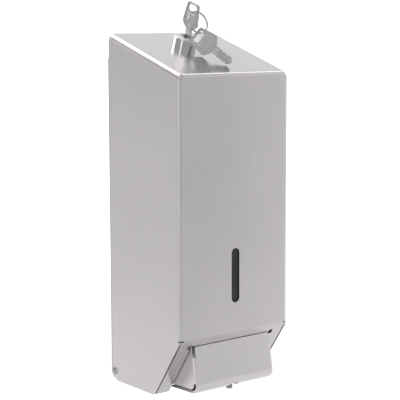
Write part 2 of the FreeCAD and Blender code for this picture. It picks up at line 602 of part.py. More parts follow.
def make_lock_body():
    head = cyl_z(LOCK_HEAD_R, 0, LOCK_HEAD_H)
    head = head.makeFillet(0.9, [e for e in head.Edges if abs(e.BoundBox.ZMin - LOCK_HEAD_H) < 0.01
                                 and abs(e.BoundBox.ZMax - LOCK_HEAD_H) < 0.01])
    barrel = cyl_z(LOCK_BARREL_R, -LOCK_BARREL_L, 0.5)
    body = fuse(head, barrel)
    body = body.cut(cyl_z(7.2, LOCK_HEAD_H - 1.4, LOCK_HEAD_H + 1))
    return lock_local(body.cut(cyl_z(PLUG_R + 0.05, -LOCK_BARREL_L - 1, LOCK_HEAD_H + 1)))


def hexagon(across, z0, z1):
    r = across / math.sqrt(3)
    turns = [math.pi * i / 3 for i in range(6)]
    return prism_z([(r * math.cos(turn), r * math.sin(turn)) for turn in turns], z0, z1)


def make_lock_washer():
    return lock_local(cyl_z(11.0, -SHEET - 0.8, -SHEET).cut(cyl_z(LOCK_BARREL_R, -4, 0)))


def make_lock_nut():
    z1 = -SHEET - 0.8
    return lock_local(hexagon(21.0, z1 - 4.0, z1).cut(cyl_z(LOCK_BARREL_R, -9, 0)))


def make_lock_plug():
    """Turning plug with the key slot along the slope, and the square that drives the cam."""
    plug = cyl_z(PLUG_R, -LOCK_BARREL_L - 0.3, LOCK_HEAD_H - 1.7)
    slot_w = KEY_T + 0.3
    slot_l = KEY_BLADE_W + 0.4
    plug = plug.cut(box(-slot_w / 2, slot_w / 2, -slot_l / 2, slot_l / 2, LOCK_HEAD_H - 17.4, LOCK_HEAD_H))
    square = box(-3.0, 3.0, -3.0, 3.0, -LOCK_BARREL_L - 2.5, -LOCK_BARREL_L)
    return lock_local(fuse(plug, square).cut(cyl_z(1.2, -LOCK_BARREL_L - 3, -LOCK_BARREL_L + 3.5)))


def cam_top():
    return -LOCK_BARREL_L - 0.3


def make_lock_cam():
    """Flat tongue on the plug square, pointing to the rear when unlocked."""
    z1 = cam_top()
    hub = cyl_z(CAM_W / 2 + 1.0, z1 - CAM_T, z1)
    arm = box(-CAM_W / 2, CAM_W / 2, 0, CAM_REACH - CAM_W / 2, z1 - CAM_T, z1)
    end = cyl_z(CAM_W / 2, z1 - CAM_T, z1, 0, CAM_REACH - CAM_W / 2)
    cam = fuse(hub, arm, end)
    return lock_local(cam.cut(box(-3.0, 3.0, -3.0, 3.0, z1 - CAM_T - 1, z1 + 1)))


def make_cam_screw():
    z1 = cam_top() - CAM_T
    head = cyl_z(4.5, z1 - 2.2, z1 - 0.2)
    head = head.cut(box(-0.5, 0.5, -5, 5, z1 - 3, z1 - 1.4))
    return lock_local(fuse(head, cyl_z(1.2, z1 - 0.5, -LOCK_BARREL_L + 3.3)))


# ---- keys ---------------------------------------------------------------------------------------
def flat_key():
    """Key in the plane x = 0: bow above z = 0, neck and blade below; the bow's hole is at the top."""
    half, top_half, shoulder = KEY_BOW_W / 2, KEY_BOW_TOP_W / 2, KEY_BLADE_W / 2 + 0.6
    x0, x1 = -KEY_T / 2, KEY_T / 2
    bow = prism_x([(-shoulder, 0), (-half, KEY_LOW), (-half, KEY_HIGH), (-top_half, KEY_BOW_L),
                   (top_half, KEY_BOW_L), (half, KEY_HIGH), (half, KEY_LOW), (shoulder, 0)], x0, x1)
    bow = round_edges(bow, 3.0, lambda mid, way: abs(way.x) > 0.99 and mid.z > 1)
    neck = box(x0, x1, -KEY_BLADE_W / 2 + 0.4, KEY_BLADE_W / 2 - 0.4, -KEY_NECK_L, 0.5)
    blade = prism_x([(-KEY_BLADE_W / 2, -KEY_NECK_L), (KEY_BLADE_W / 2, -KEY_NECK_L),
                     (KEY_BLADE_W / 2, -KEY_NECK_L - KEY_BLADE_L + 3), (0, -KEY_NECK_L - KEY_BLADE_L),
                     (-KEY_BLADE_W / 2, -KEY_NECK_L - KEY_BLADE_L + 3)], x0, x1)
    key = fuse(bow, neck, blade)
    for i, depth in enumerate((1.6, 0.9, 2.0, 1.2)):
        z = -KEY_NECK_L - 2.6 - 2.6 * i
        edge = -KEY_BLADE_W / 2
        key = key.cut(prism_x([(edge - 0.1, z - 1.3), (edge + depth, z - 0.3), (edge + depth, z + 0.3),
                               (edge - 0.1, z + 1.3)], -3, 3))
    hole_z = key_hole_z()
    half_hole = KEY_HOLE_L / 2 - KEY_HOLE_R
    hole = fuse(box(-3, 3, -half_hole, half_hole, hole_z - KEY_HOLE_R, hole_z + KEY_HOLE_R),
                cyl_x(KEY_HOLE_R, -3, 3, -half_hole, hole_z), cyl_x(KEY_HOLE_R, -3, 3, half_hole, hole_z))
    return key.cut(hole)


def key_hole_z():
    return KEY_BOW_L - 2.2 - KEY_HOLE_R


def make_key():
    """Key standing in the plug; local z = 0 of the key is the foot of its bow."""
    key = flat_key()
    key.Placement = Placement(Vector(0, 0, LOCK_HEAD_H + KEY_NECK_L), Rotation())
    return lock_local(key)


def ring_top():
    """Where the ring's wire hangs in the hole of the standing key."""
    clearance = 0.35
    reach = KEY_HOLE_R - RING_WIRE_R - clearance
    end_y = -(KEY_HOLE_L / 2 - KEY_HOLE_R)
    hole_z = LOCK_HEAD_H + KEY_NECK_L + key_hole_z()
    return LOCK_PLACE.multVec(Vector(0, end_y - reach * math.sin(SLOPE), hole_z - reach * math.cos(SLOPE)))


def make_key_ring():
    """Split ring: two turns of wire side by side, joined as one."""
    wire_r = RING_WIRE_R * 0.65
    turns = [Part.makeTorus(RING_R, wire_r, Vector(0, side * wire_r * 0.9, -RING_R), Vector(0, 1, 0))
             for side in (-1, 1)]
    ring = fuse(*turns)
    ring.Placement = Placement(ring_top(), Rotation(Vector(1, 0, 0), -RING_LEAN))
    return ring


def spare_axes():
    """Directions of the spare key: along it from bow to tip, across its width, and through it."""
    basis = (Vector(0, -math.cos(SLOPE), -math.sin(SLOPE)), Vector(1, 0, 0),
             Vector(0, -math.sin(SLOPE), math.cos(SLOPE)))
    along, width = (basis[0] * a + basis[1] * b + basis[2] * c for a, b, c in (SPARE_DIR, SPARE_WIDTH))
    along.normalize()
    width = width - along * width.dot(along)
    width.normalize()
    return along, width, along.cross(width)


def make_spare_key():
    """Second key hanging from the foot of the ring and leaning towards the roof."""
    along, width, through = spare_axes()
    lean = math.radians(RING_LEAN)
    foot = ring_top() - Vector(0, math.sin(lean), math.cos(lean)) * (2 * RING_R)
    hole = foot + along * SPARE_HANG[0] + width * SPARE_HANG[1]
    key = flat_key()
    place = Placement(FreeCAD.Matrix(through.x, width.x, -along.x, 0,
                                     through.y, width.y, -along.y, 0,
                                     through.z, width.z, -along.z, 0,
                                     0, 0, 0, 1))
    place.Base = hole - place.Rotation.multVec(Vector(0, 0, key_hole_z()))
    key.Placement = place
    return key


# ---- write every node ---------------------------------------------------------------------------
os.makedirs("parts", exist_ok=True)

save("cover", make_cover())
save("sight_window", make_window())
save("push_lever", make_lever())
save("push_pad", make_push_pad())
save("lever_bracket_right", make_lever_bracket())
save("lever_bracket_left", mirrored(make_lever_bracket()))
save("lever_pins", *both_sides(make_lever_pin()))
save("pin_clips", *both_sides(make_pin_clip()))
save("back_plate", make_back_plate())
save("plate_rivets", *make_plate_rivets())
save("hinge_rivets", *both_sides(make_hinge_rivet()))
save("hinge_washers", *both_sides(make_hinge_washer()))
save("tank_shelf", make_shelf())
save("lock_catch", make_lock_catch())
save("soap_tank", make_tank())
save("fill_flap", make_flap())
save("flap_pin", make_flap_pin())
save("pump_body", make_pump_body())
save("pump_gland", make_pump_gland())
save("pump_nut", make_pump_nut())
save("neck_gasket", make_neck_gasket())
save("inlet_valve", make_inlet_valve())
save("pump_piston", make_pump_piston())
save("piston_seal", make_piston_seal())
save("pump_head", make_pump_head())
save("spout", make_spout())
save("pump_spring", make_pump_spring())
save("lock_body", make_lock_body())
save("lock_washer", make_lock_washer())
save("lock_nut", make_lock_nut())
save("lock_plug", make_lock_plug())
save("lock_cam", make_lock_cam())
save("cam_screw", make_cam_screw())
save("key", make_key())
save("key_ring", make_key_ring())
save("spare_key", make_spare_key())
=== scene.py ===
import json
import math

import bmesh
import bpy
from mathutils import Matrix, Vector


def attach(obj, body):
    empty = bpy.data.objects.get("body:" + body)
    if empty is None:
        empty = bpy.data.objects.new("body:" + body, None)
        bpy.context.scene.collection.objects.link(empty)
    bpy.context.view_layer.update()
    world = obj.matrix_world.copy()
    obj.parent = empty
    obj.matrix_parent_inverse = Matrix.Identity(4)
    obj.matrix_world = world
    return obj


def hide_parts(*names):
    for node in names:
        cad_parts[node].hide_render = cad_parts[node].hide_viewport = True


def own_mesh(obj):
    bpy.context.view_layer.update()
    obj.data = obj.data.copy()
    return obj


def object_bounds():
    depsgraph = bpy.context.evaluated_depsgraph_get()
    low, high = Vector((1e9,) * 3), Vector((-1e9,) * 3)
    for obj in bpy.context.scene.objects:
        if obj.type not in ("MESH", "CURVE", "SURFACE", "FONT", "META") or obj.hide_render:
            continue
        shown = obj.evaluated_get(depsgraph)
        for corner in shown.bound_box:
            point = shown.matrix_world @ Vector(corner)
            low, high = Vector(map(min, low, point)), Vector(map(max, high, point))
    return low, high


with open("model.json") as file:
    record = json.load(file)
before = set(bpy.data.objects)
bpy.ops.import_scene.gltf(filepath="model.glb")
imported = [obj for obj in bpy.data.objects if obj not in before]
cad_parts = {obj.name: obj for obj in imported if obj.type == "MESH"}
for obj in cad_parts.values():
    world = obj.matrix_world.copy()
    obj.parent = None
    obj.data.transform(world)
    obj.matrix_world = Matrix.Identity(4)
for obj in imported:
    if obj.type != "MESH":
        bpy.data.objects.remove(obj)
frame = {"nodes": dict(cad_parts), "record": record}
cad_low, cad_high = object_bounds()
NODES = frame["nodes"]
scene = bpy.context.scene

# Metres, in the shared frame: X to the right, Y into the wall, Z up.
# The origin is the centre of the wall screw pattern, on the wall.
MM = 0.001
RIGHT = Vector((1, 0, 0))
MIDDLE = Vector((0, -0.05, 0))                  # about the middle of the case
SLOPE = math.radians(18.2)                      # fall of the roof to the front
OUT_OF_ROOF = Vector((0, -math.sin(SLOPE), math.cos(SLOPE)))
UP_THE_SLOPE = Vector((0, math.cos(SLOPE), math.sin(SLOPE)))
LOCK_BASE = Vector((0, -35.5, 138.158)) * MM    # lock centre on the roof

# The lever's face turns into its floor on a roll about this line along X.
ROLL_CENTRE = Vector((0, -96.49, -146.97)) * MM
ROLL_INNER_R = 6.7 * MM                         # just inside the sheet of the roll
ROLL_TOP = 1.3 * MM                             # the roll's painted-shade edge ends this far above its centre

LEVEL_FACE = 0.6                                # a face whose normal has a larger Z counts as level
SIDE_FACE = 0.9                                 # a face whose normal has a larger X looks sideways


# ---- node helpers -------------------------------------------------------------------------------
class Shader:
    """One Principled material and short calls to build its nodes."""

    def __init__(self, name):
        self.material = bpy.data.materials.new(name)
        self.material.use_nodes = True
        self.tree = self.material.node_tree
        self.bsdf = self.tree.nodes["Principled BSDF"]
        self.coords = self.node("ShaderNodeTexCoord")

    def node(self, kind, **settings):
        made = self.tree.nodes.new(kind)
        for key, value in settings.items():
            setattr(made, key, value)
        return made

    def link(self, source, target):
        self.tree.links.new(source, target)

    def set(self, **values):
        for key, value in values.items():
            self.bsdf.inputs[key.replace("_", " ")].default_value = value

    def mapping(self, scale, rotation=(0, 0, 0)):
        made = self.node("ShaderNodeMapping")
        made.inputs["Scale"].default_value = scale
        made.inputs["Rotation"].default_value = rotation
        self.link(self.coords.outputs["Object"], made.inputs["Vector"])
        return made.outputs["Vector"]

    def noise(self, scale, mapping=(1, 1, 1), detail=4.0, rough=0.5, rotation=(0, 0, 0)):
        made = self.node("ShaderNodeTexNoise")
        made.inputs["Scale"].default_value = scale
        made.inputs["Detail"].default_value = detail
        made.inputs["Roughness"].default_value = rough
        self.link(self.mapping(mapping, rotation), made.inputs["Vector"])
        return made.outputs["Fac"]

    def math(self, operation, a, b=0.0):
        made = self.node("ShaderNodeMath", operation=operation)
        for socket, value in zip(made.inputs, (a, b)):
            if isinstance(value, (int, float)):
                socket.default_value = value
            else:
                self.link(value, socket)
        return made.outputs[0]

    def remap(self, value, low, high, from_low=0.3, from_high=0.7):
        made = self.node("ShaderNodeMapRange")
        made.inputs["From Min"].default_value = from_low
        made.inputs["From Max"].default_value = from_high
        made.inputs["To Min"].default_value = low
        made.inputs["To Max"].default_value = high
        self.link(value, made.inputs["Value"])
        return made.outputs["Result"]

    def tint(self, factor, a, b):
        """Colour a where the factor is 0, b where it is 1. Each is a constant or a node's output."""
        made = self.node("ShaderNodeMix", data_type="RGBA")
        self.link(factor, made.inputs["Factor"])
        # the colour sockets of a Mix node are its 7th and 8th inputs, its colour output is the 3rd
        for socket, value in zip(made.inputs[6:8], (a, b)):
            if isinstance(value, tuple):
                socket.default_value = (*value, 1)
            else:
                self.link(value, socket)
        return made.outputs[2]

    def bump(self, height, distance):
        made = self.node("ShaderNodeBump")
        made.inputs["Strength"].default_value = 1.0
        made.inputs["Distance"].default_value = distance
        self.link(height, made.inputs["Height"])
        self.link(made.outputs["Normal"], self.bsdf.inputs["Normal"])


def grain_by_facing(s, upright, roof):
    """Brush marks: one noise on upright faces, another on faces that look up or down."""
    split = s.node("ShaderNodeSeparateXYZ")
    s.link(s.coords.outputs["Normal"], split.inputs[0])
    s.facing_z = split.outputs["Z"]
    level = s.math("GREATER_THAN", s.math("ABSOLUTE", s.facing_z), LEVEL_FACE)
    made = s.node("ShaderNodeMix", data_type="FLOAT")
    # the plain number sockets of a Mix node are its first and its 3rd and 4th inputs
    s.link(level, made.inputs[0])
    s.link(upright, made.inputs[2])
    s.link(roof, made.inputs[3])
    return made.outputs[0]


def inner_faces(s, centre):
    """1 on the faces that look towards the middle of the box, 0 on its outside."""
    to_middle = s.node("ShaderNodeVectorMath", operation="SUBTRACT")
    to_middle.inputs[0].default_value = centre
    s.link(s.coords.outputs["Object"], to_middle.inputs[1])
    dot = s.node("ShaderNodeVectorMath", operation="DOT_PRODUCT")
    s.link(s.coords.outputs["Normal"], dot.inputs[0])
    s.link(to_middle.outputs["Vector"], dot.inputs[1])
    well_inward = 2 * MM
    return s.math("GREATER_THAN", dot.outputs["Value"], well_inward)


def rolled_edge_shade(s):
    """1 on the cut side edges of the lever's rolled floor, 0 elsewhere: there the dark gap under the wings
    is painted as shade.
    """
    place = s.node("ShaderNodeSeparateXYZ")
    s.link(s.coords.outputs["Object"], place.inputs[0])
    facing = s.node("ShaderNodeSeparateXYZ")
    s.link(s.coords.outputs["Normal"], facing.inputs[0])
    y, z = place.outputs["Y"], place.outputs["Z"]
    forward = s.math("MINIMUM", s.math("SUBTRACT", y, ROLL_CENTRE.y), 0.0)
    down = s.math("MINIMUM", s.math("SUBTRACT", z, ROLL_CENTRE.z), 0.0)
    squares = s.math("ADD", s.math("MULTIPLY", forward, forward), s.math("MULTIPLY", down, down))
    sideways = s.math("GREATER_THAN", s.math("ABSOLUTE", facing.outputs["X"]), SIDE_FACE)
    on_sheet = s.math("GREATER_THAN", s.math("SQRT", squares), ROLL_INNER_R)
    low = s.math("LESS_THAN", z, ROLL_CENTRE.z + ROLL_TOP)
    return s.math("MULTIPLY", s.math("MULTIPLY", sideways, on_sheet), low)


def weighted(s, a, b, of_a):
    """The two values mixed, with the share of_a of the first and the rest of the second."""
    return s.math("ADD", s.math("MULTIPLY", a, of_a), s.math("MULTIPLY", b, 1 - of_a))


def brushed(name, dark, light, rough, centre, inner, dulled_and_shaded=None):
    """Satin sheet: long fine brush marks, broad soft mottling, finger haze; inside, a rougher mill finish
    painted near-black as shade.

    centre is the middle of the space that the sheet encloses, inner the grey of its inside, a mill finish
    darkened to near black as painted shade, and the last argument a function that gives more such places.
    """
    along_z, along_y_and_z = (700, 700, 9), (700, 9, 9)
    roof_gloss, inner_dulling, mark_depth = 0.13, 0.25, 2e-6
    s = Shader(name)
    inside = inner_faces(s, centre)
    # more places that get the rougher inside finish and its painted near-black shade
    if dulled_and_shaded:
        inside = s.math("MAXIMUM", inside, dulled_and_shaded(s))
    upright = s.noise(1.0, along_z, detail=6.0, rough=0.65)
    roof = s.noise(1.0, along_y_and_z, detail=6.0, rough=0.65)
    grain = grain_by_facing(s, upright, roof)
    broad = s.noise(14.0, detail=3.0)
    fine = s.noise(900.0, detail=2.0)
    outside = s.tint(s.remap(weighted(s, grain, broad, 0.62), 0.0, 1.0, 0.36, 0.64), dark, light)
    # inside faces take the inner grey: a rougher mill finish painted near-black as the shade of the closed
    # case
    s.link(s.tint(inside, outside, grey(inner)), s.bsdf.inputs["Base Color"])
    haze = s.remap(weighted(s, grain, broad, 0.7), rough - 0.03, rough + 0.035)
    faces_up = s.math("GREATER_THAN", s.facing_z, LEVEL_FACE)
    haze = s.math("SUBTRACT", haze, s.math("MULTIPLY", faces_up, roof_gloss))
    haze = s.math("ADD", haze, s.math("MULTIPLY", inside, inner_dulling))
    s.link(haze, s.bsdf.inputs["Roughness"])
    s.bump(s.math("ADD", grain, s.math("MULTIPLY", fine, 0.25)), mark_depth)
    s.set(Metallic=1.0)
    return s.material


def plated(name, dark, light, rough, spread=0.05, depth=3e-6, scale=160.0):
    """Zinc or nickel plate: crystalline clouding over fine scratches."""
    s = Shader(name)
    cells = s.node("ShaderNodeTexVoronoi")
    cells.inputs["Scale"].default_value = scale * 3
    s.link(s.mapping((1, 1, 1)), cells.inputs["Vector"])
    clouds = s.noise(scale, detail=5.0)
    scratches = s.noise(scale * 4, (1.0, 1.0, 0.06), detail=3.0, rotation=(0.4, 0.3, 0.0))
    crystals = s.math("MULTIPLY", cells.outputs["Distance"], 0.5)
    mixed = s.math("ADD", s.math("MULTIPLY", clouds, 0.6), crystals)
    s.link(s.tint(s.remap(mixed, 0.0, 1.0, 0.35, 0.75), dark, light), s.bsdf.inputs["Base Color"])
    haze = s.remap(weighted(s, clouds, scratches, 0.5), rough - spread, rough + spread)
    s.link(haze, s.bsdf.inputs["Roughness"])
    s.bump(s.math("ADD", scratches, s.math("MULTIPLY", clouds, 0.5)), depth)
    s.set(Metallic=1.0)
    return s.material


def moulded(name, dark, light, rough, depth=1.5e-5, **constants):
    """Moulded plastic or rubber: fine pebbling from the mould, faint flow clouding."""
    pebble_scale, flow_scale, spread = 1680.0, 50.4, 0.06
    s = Shader(name)
    pebble = s.noise(pebble_scale, detail=2.0)
    flow = s.noise(flow_scale, (1.0, 1.0, 0.4), detail=4.0)
    s.link(s.tint(s.remap(flow, 0.0, 1.0), dark, light), s.bsdf.inputs["Base Color"])
    haze = s.remap(weighted(s, flow, pebble, 0.5), rough - spread, rough + spread)
    s.link(haze, s.bsdf.inputs["Roughness"])
    s.bump(pebble, depth)
    s.set(Metallic=0.0, **constants)
    return s.material


def grey(value, warm=0.0):
    return (value * (1 + warm), value, value * (1 - warm))


def steel(value):
    """Stainless steel's faintly rosy grey."""
    return (value * 1.05, value, value)


MATERIALS = {
    # inner is the grey of the insides: mill finish with painted shade, near black
    "brushed_steel": brushed("Brushed_steel", steel(0.545), steel(0.570), 0.31,
                             centre=(0, -0.05, -0.02), inner=0.06),
    # the lever's inside and its rolled floor's cut edges are painted near-black as shade over a rougher
    # finish
    "lever_steel": brushed("Lever_steel", steel(0.632), steel(0.656), 0.32,
                           centre=(0, -0.085, -0.135), inner=0.025, dulled_and_shaded=rolled_edge_shade),
    "plain_steel": plated("Zinc_plated_steel", grey(0.22, -0.02), grey(0.30, -0.02), 0.40),
    "rivet_steel": plated("Rivet_steel", grey(0.32), grey(0.40), 0.22, depth=2e-6, scale=500.0),
    "lock_chrome": plated("Lock_chrome", grey(0.62), grey(0.70), 0.12,
                          spread=0.04, depth=6e-7, scale=700.0),
    "key_metal": plated("Key_nickel", grey(0.44, 0.01), grey(0.54, 0.01), 0.27, depth=3e-6, scale=600.0),
    "ring_wire": plated("Ring_wire", grey(0.40), grey(0.52), 0.16, depth=8e-7, scale=900.0),
    "spring_wire": plated("Spring_wire", grey(0.40), grey(0.50), 0.24, depth=1e-6, scale=900.0),
    "smoked_pane": moulded("Smoked_pane", grey(0.020), grey(0.032), 0.34,
                           depth=1e-6, Specular_IOR_Level=0.25),
    "tank_plastic": moulded("Natural_polyethylene", (0.74, 0.76, 0.73), (0.82, 0.83, 0.80), 0.42,
                            Subsurface_Weight=0.15, Subsurface_Radius=(1.0, 1.0, 1.0),
                            Subsurface_Scale=0.003),
    "pump_white": moulded("White_acetal", (0.74, 0.75, 0.75), (0.82, 0.82, 0.82), 0.30, depth=6e-6),
    "spout_plastic": moulded("Grey_acetal", (0.24, 0.25, 0.25), (0.30, 0.30, 0.31), 0.28, depth=6e-6),
    "black_rubber": moulded("Black_rubber", grey(0.018), grey(0.030), 0.62, depth=3e-5),
}


# ---- finish of every CAD node -------------------------------------------------------------------
for part in frame["record"]["subparts"]:
    finish = NODES[part["node"]].data.materials
    finish.clear()
    finish.append(MATERIALS[part["material_slot"]])


# ---- mesh helpers -------------------------------------------------------------------------------
def new_piece(name, mesh_maker, slot, body, place=Matrix.Identity(4)):
    """A piece from a bmesh, placed in the shared frame and riding on its body."""
    bm = bmesh.new()
    mesh_maker(bm)
    bmesh.ops.recalc_face_normals(bm, faces=bm.faces)
    mesh = bpy.data.meshes.new(name)
    bm.to_mesh(mesh)
    bm.free()
    mesh.transform(place)
    mesh.materials.append(MATERIALS[slot])
    piece = bpy.data.objects.new(name, mesh)
    scene.collection.objects.link(piece)
    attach(piece, body)
    return piece


def placed(x_axis, y_axis, z_axis, where):
    """Matrix that scales millimetres to metres and turns local X, Y, Z to the given directions."""
    turn = Matrix((x_axis, y_axis, z_axis)).transposed().to_4x4()
    return Matrix.Translation(where) @ turn @ Matrix.Scale(MM, 4)


def bridge(bm, rings, capped=False):
    """Faces from each closed ring of vertices to the next, and over both ends if capped."""
    for low, high in zip(rings, rings[1:]):
        count = len(low)
        for i in range(count):
            j = (i + 1) % count
            bm.faces.new((low[i], low[j], high[j], high[i]))
    if capped:
        bm.faces.new(rings[0])
        bm.faces.new(rings[-1])


def ring_at(bm, x, outline):
    """Ring of vertices from an outline (y, z) at one x."""
    return [bm.verts.new((x, y, z)) for y, z in outline]


def rounded(points, radius, steps=5):
    """Closed outline with every corner eased by a short curve."""
    made = []
    count = len(points)
    for i, corner in enumerate(points):
        corner = Vector(corner)
        before, after = Vector(points[i - 1]) - corner, Vector(points[(i + 1) % count]) - corner
        half = before.angle(after) / 2
        reach = min(radius / math.tan(half), 0.48 * before.length, 0.48 * after.length)
        a, b = corner + before.normalized() * reach, corner + after.normalized() * reach
        for k in range(steps + 1):
            t = k / steps
            made.append(a * (1 - t) ** 2 + corner * 2 * t * (1 - t) + b * t ** 2)
    return made


def shrink(points, amount):
    """Outline with every point moved towards the middle by the amount."""
    centre = sum((Vector(p) for p in points), Vector((0, 0))) / len(points)
    return [Vector(p) - (Vector(p) - centre).normalized() * amount for p in points]


def stadium(half_length, radius, z, steps=8):
    """Slot outline along y, round at both ends, with its middle at height z."""
    points = []
    for side in (1, -1):
        for k in range(steps + 1):
            turn = math.pi * (k / steps) - math.pi / 2
            y = (half_length - radius) + radius * math.cos(turn)
            points.append((side * y, z + side * radius * math.sin(turn)))
    return points


def plate(bm, outline, hole, half, bevel):
    """Flat plate across x, twice half thick, from an outline (y, z) with a hole, its edges eased."""
    edge_rings = []
    for points, inset in ((outline, bevel), (hole, -bevel)):
        eased = shrink(points, inset)
        stack = [ring_at(bm, half, eased), ring_at(bm, half - bevel, points),
                 ring_at(bm, bevel - half, points), ring_at(bm, -half, eased)]
        bridge(bm, stack)
        edge_rings.append((stack[0], stack[-1]))
    for rings in zip(*edge_rings):
        edges = []
        for ring in rings:
            for i, vert in enumerate(ring):
                edges.append(bm.edges.get((vert, ring[(i + 1) % len(ring)])))
        bmesh.ops.triangle_fill(bm, use_beauty=True, use_dissolve=False, edges=edges)


def band(bm, outer, inner, low, high):
    """Raised closed band between two outlines with the same number of points."""
    ease = 0.12
    rings = [ring_at(bm, low, outer), ring_at(bm, high, shrink(outer, ease)),
             ring_at(bm, high, shrink(inner, -ease)), ring_at(bm, low, inner)]
    bridge(bm, rings + rings[:1])


def pad(bm, outline, low, high):
    """Raised pad with eased edges."""
    ease, shoulder = 0.25, low + (high - low) * 0.6
    rings = [ring_at(bm, low, outline), ring_at(bm, shoulder, outline),
             ring_at(bm, high, shrink(outline, ease))]
    bridge(bm, rings, capped=True)


def wire(bm, stations, around=12):
    """Round wire through stations of (point, outward, along the axis, radius), closed at both ends."""
    turns = [2 * math.pi * i / around for i in range(around)]
    rings = []
    for point, outward, axial, radius in stations:
        offsets = [(outward * math.cos(a) + axial * math.sin(a)) * radius for a in turns]
        rings.append([bm.verts.new(point + offset) for offset in offsets])
    bridge(bm, rings, capped=True)


# ---- keys ---------------------------------------------------------------------------------------
# A key is drawn in millimetres: Z up its length from the foot of the bow, Y across its width,
# X through its thickness.
BOW_SIDE_Z = 8.0                                # top of the bow's upright sides
BOW_HALF_T, BOW_BEVEL = 0.72, 0.2
RAISED_FROM, RAISED_TO = 0.62, 0.98             # foot and top of the raised rim and panel
HOLE_Z, HOLE_HALF_LENGTH, HOLE_R = 18.8, 6.0, 3.0

NECK_END, BLADE_END, TIP_LENGTH = -7.0, -22.0, 3.0
NECK_HALF_W, BLADE_HALF_W, BLADE_HALF_T = 3.6, 4.0, 0.95
CUT_DEPTHS, CUT_PITCH, CUT_HALF_W = (1.6, 0.9, 2.0, 1.2), 2.6, 1.3
GROOVE_DEPTH, EDGE_EASE = 0.34, 0.12
STATION_PITCH = 0.3


def bow_outline(foot, side, top, corner):
    """Outline of the bow from three (half width, z): its foot, where its sides start, and its top."""
    right = [foot, side, (side[0], BOW_SIDE_Z), top]
    left = [(-y, z) for y, z in reversed(right)]
    return rounded(left[-1:] + right + left[:-1], corner)


def key_bow(bm):
    """Bow with a slot for the ring, a raised rim and a raised panel on both faces."""
    outline = bow_outline(foot=(4.6, 0), side=(10.5, 4.6), top=(7.9, 23.8), corner=2.6)
    rim_outer = bow_outline(foot=(3.9, 0.7), side=(9.6, 5.1), top=(7.3, 23.2), corner=2.2)
    rim_inner = bow_outline(foot=(3.4, 1.6), side=(8.5, 5.6), top=(6.5, 22.4), corner=1.8)
    panel = rounded([(-5.6, 3.4), (5.6, 3.4), (7.0, 6.4), (6.5, 13.6), (-6.5, 13.6), (-7.0, 6.4)], 1.2)
    plate(bm, outline, stadium(HOLE_HALF_LENGTH, HOLE_R, HOLE_Z), BOW_HALF_T, BOW_BEVEL)
    for side in (1, -1):
        band(bm, rim_outer, rim_inner, side * RAISED_FROM, side * RAISED_TO)
        pad(bm, panel, side * RAISED_FROM, side * RAISED_TO)


def blade_edges(z):
    """Lowest and highest y of the neck or blade at height z, with the cuts and the pointed tip."""
    half = NECK_HALF_W if z > NECK_END else BLADE_HALF_W
    low, high = -half, half
    for i, depth in enumerate(CUT_DEPTHS):
        away = abs(z - (NECK_END - CUT_PITCH * (i + 1)))
        if away < CUT_HALF_W:
            low = max(low, -BLADE_HALF_W + depth * min(1.0, CUT_HALF_W - away))
    if z < BLADE_END + TIP_LENGTH:
        half = BLADE_HALF_W * (z - BLADE_END) / TIP_LENGTH + 0.15
        low, high = max(low, -half), half
    return low, high


def blade_section(z):
    """Closed section (x, y) of the neck or blade at height z, with two milled grooves on each face."""
    low, high = blade_edges(z)
    run_in, groove_start = 1.5, NECK_END + 3
    depth = 0.0 if z > groove_start else GROOVE_DEPTH * min(1.0, (groove_start - z) / run_in)
    face, floor = BLADE_HALF_T, BLADE_HALF_T - depth
    profile = [(low + EDGE_EASE, face), (-1.9, face), (-1.5, floor), (-0.5, floor), (-0.1, face),
               (0.9, face), (1.2, floor), (2.0, floor), (2.3, face), (high - EDGE_EASE, face)]
    profile = [(min(max(y, low + EDGE_EASE), high - EDGE_EASE), x) for y, x in profile]
    edge = BLADE_HALF_T - 0.25
    section = [(x, y) for y, x in profile] + [(edge, high), (-edge, high)]
    return section + [(-x, y) for y, x in reversed(profile)] + [(-edge, low), (edge, low)]


def key_blade(bm):
    """Neck and blade, from just inside the bow down to the tip."""
    start = 0.6
    count = int((start - BLADE_END) / STATION_PITCH) + 1
    heights = [start - STATION_PITCH * i for i in range(count)] + [BLADE_END]
    bridge(bm, [[bm.verts.new((x, y, z)) for x, y in blade_section(z)] for z in heights], capped=True)


def whole_key(bm):
    key_bow(bm)
    key_blade(bm)


KEY_FOOT = 15.0                                 # mm from the roof to the standing key's bow, along the lock
key_place = placed(RIGHT, UP_THE_SLOPE, OUT_OF_ROOF, LOCK_BASE + OUT_OF_ROOF * KEY_FOOT * MM)
key = new_piece("Key_in_lock", whole_key, "key_metal", "key", key_place)
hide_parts("key")

# ---- split ring, hanging from the standing key --------------------------------------------------
RING_R, WIRE_R, RING_LEAN = 10.0 * MM, 0.52 * MM, math.radians(22.0)
HUNG_FORWARD, HUNG_BELOW = 3.0, 1.85            # mm from the slot's middle to the top of the ring

in_slot = UP_THE_SLOPE * -HUNG_FORWARD + OUT_OF_ROOF * (KEY_FOOT + HOLE_Z)
ring_top = LOCK_BASE + (in_slot - Vector((0, 0, HUNG_BELOW))) * MM
ring_down = Vector((0, -math.sin(RING_LEAN), -math.cos(RING_LEAN)))
ring_axis = RIGHT.cross(ring_down)


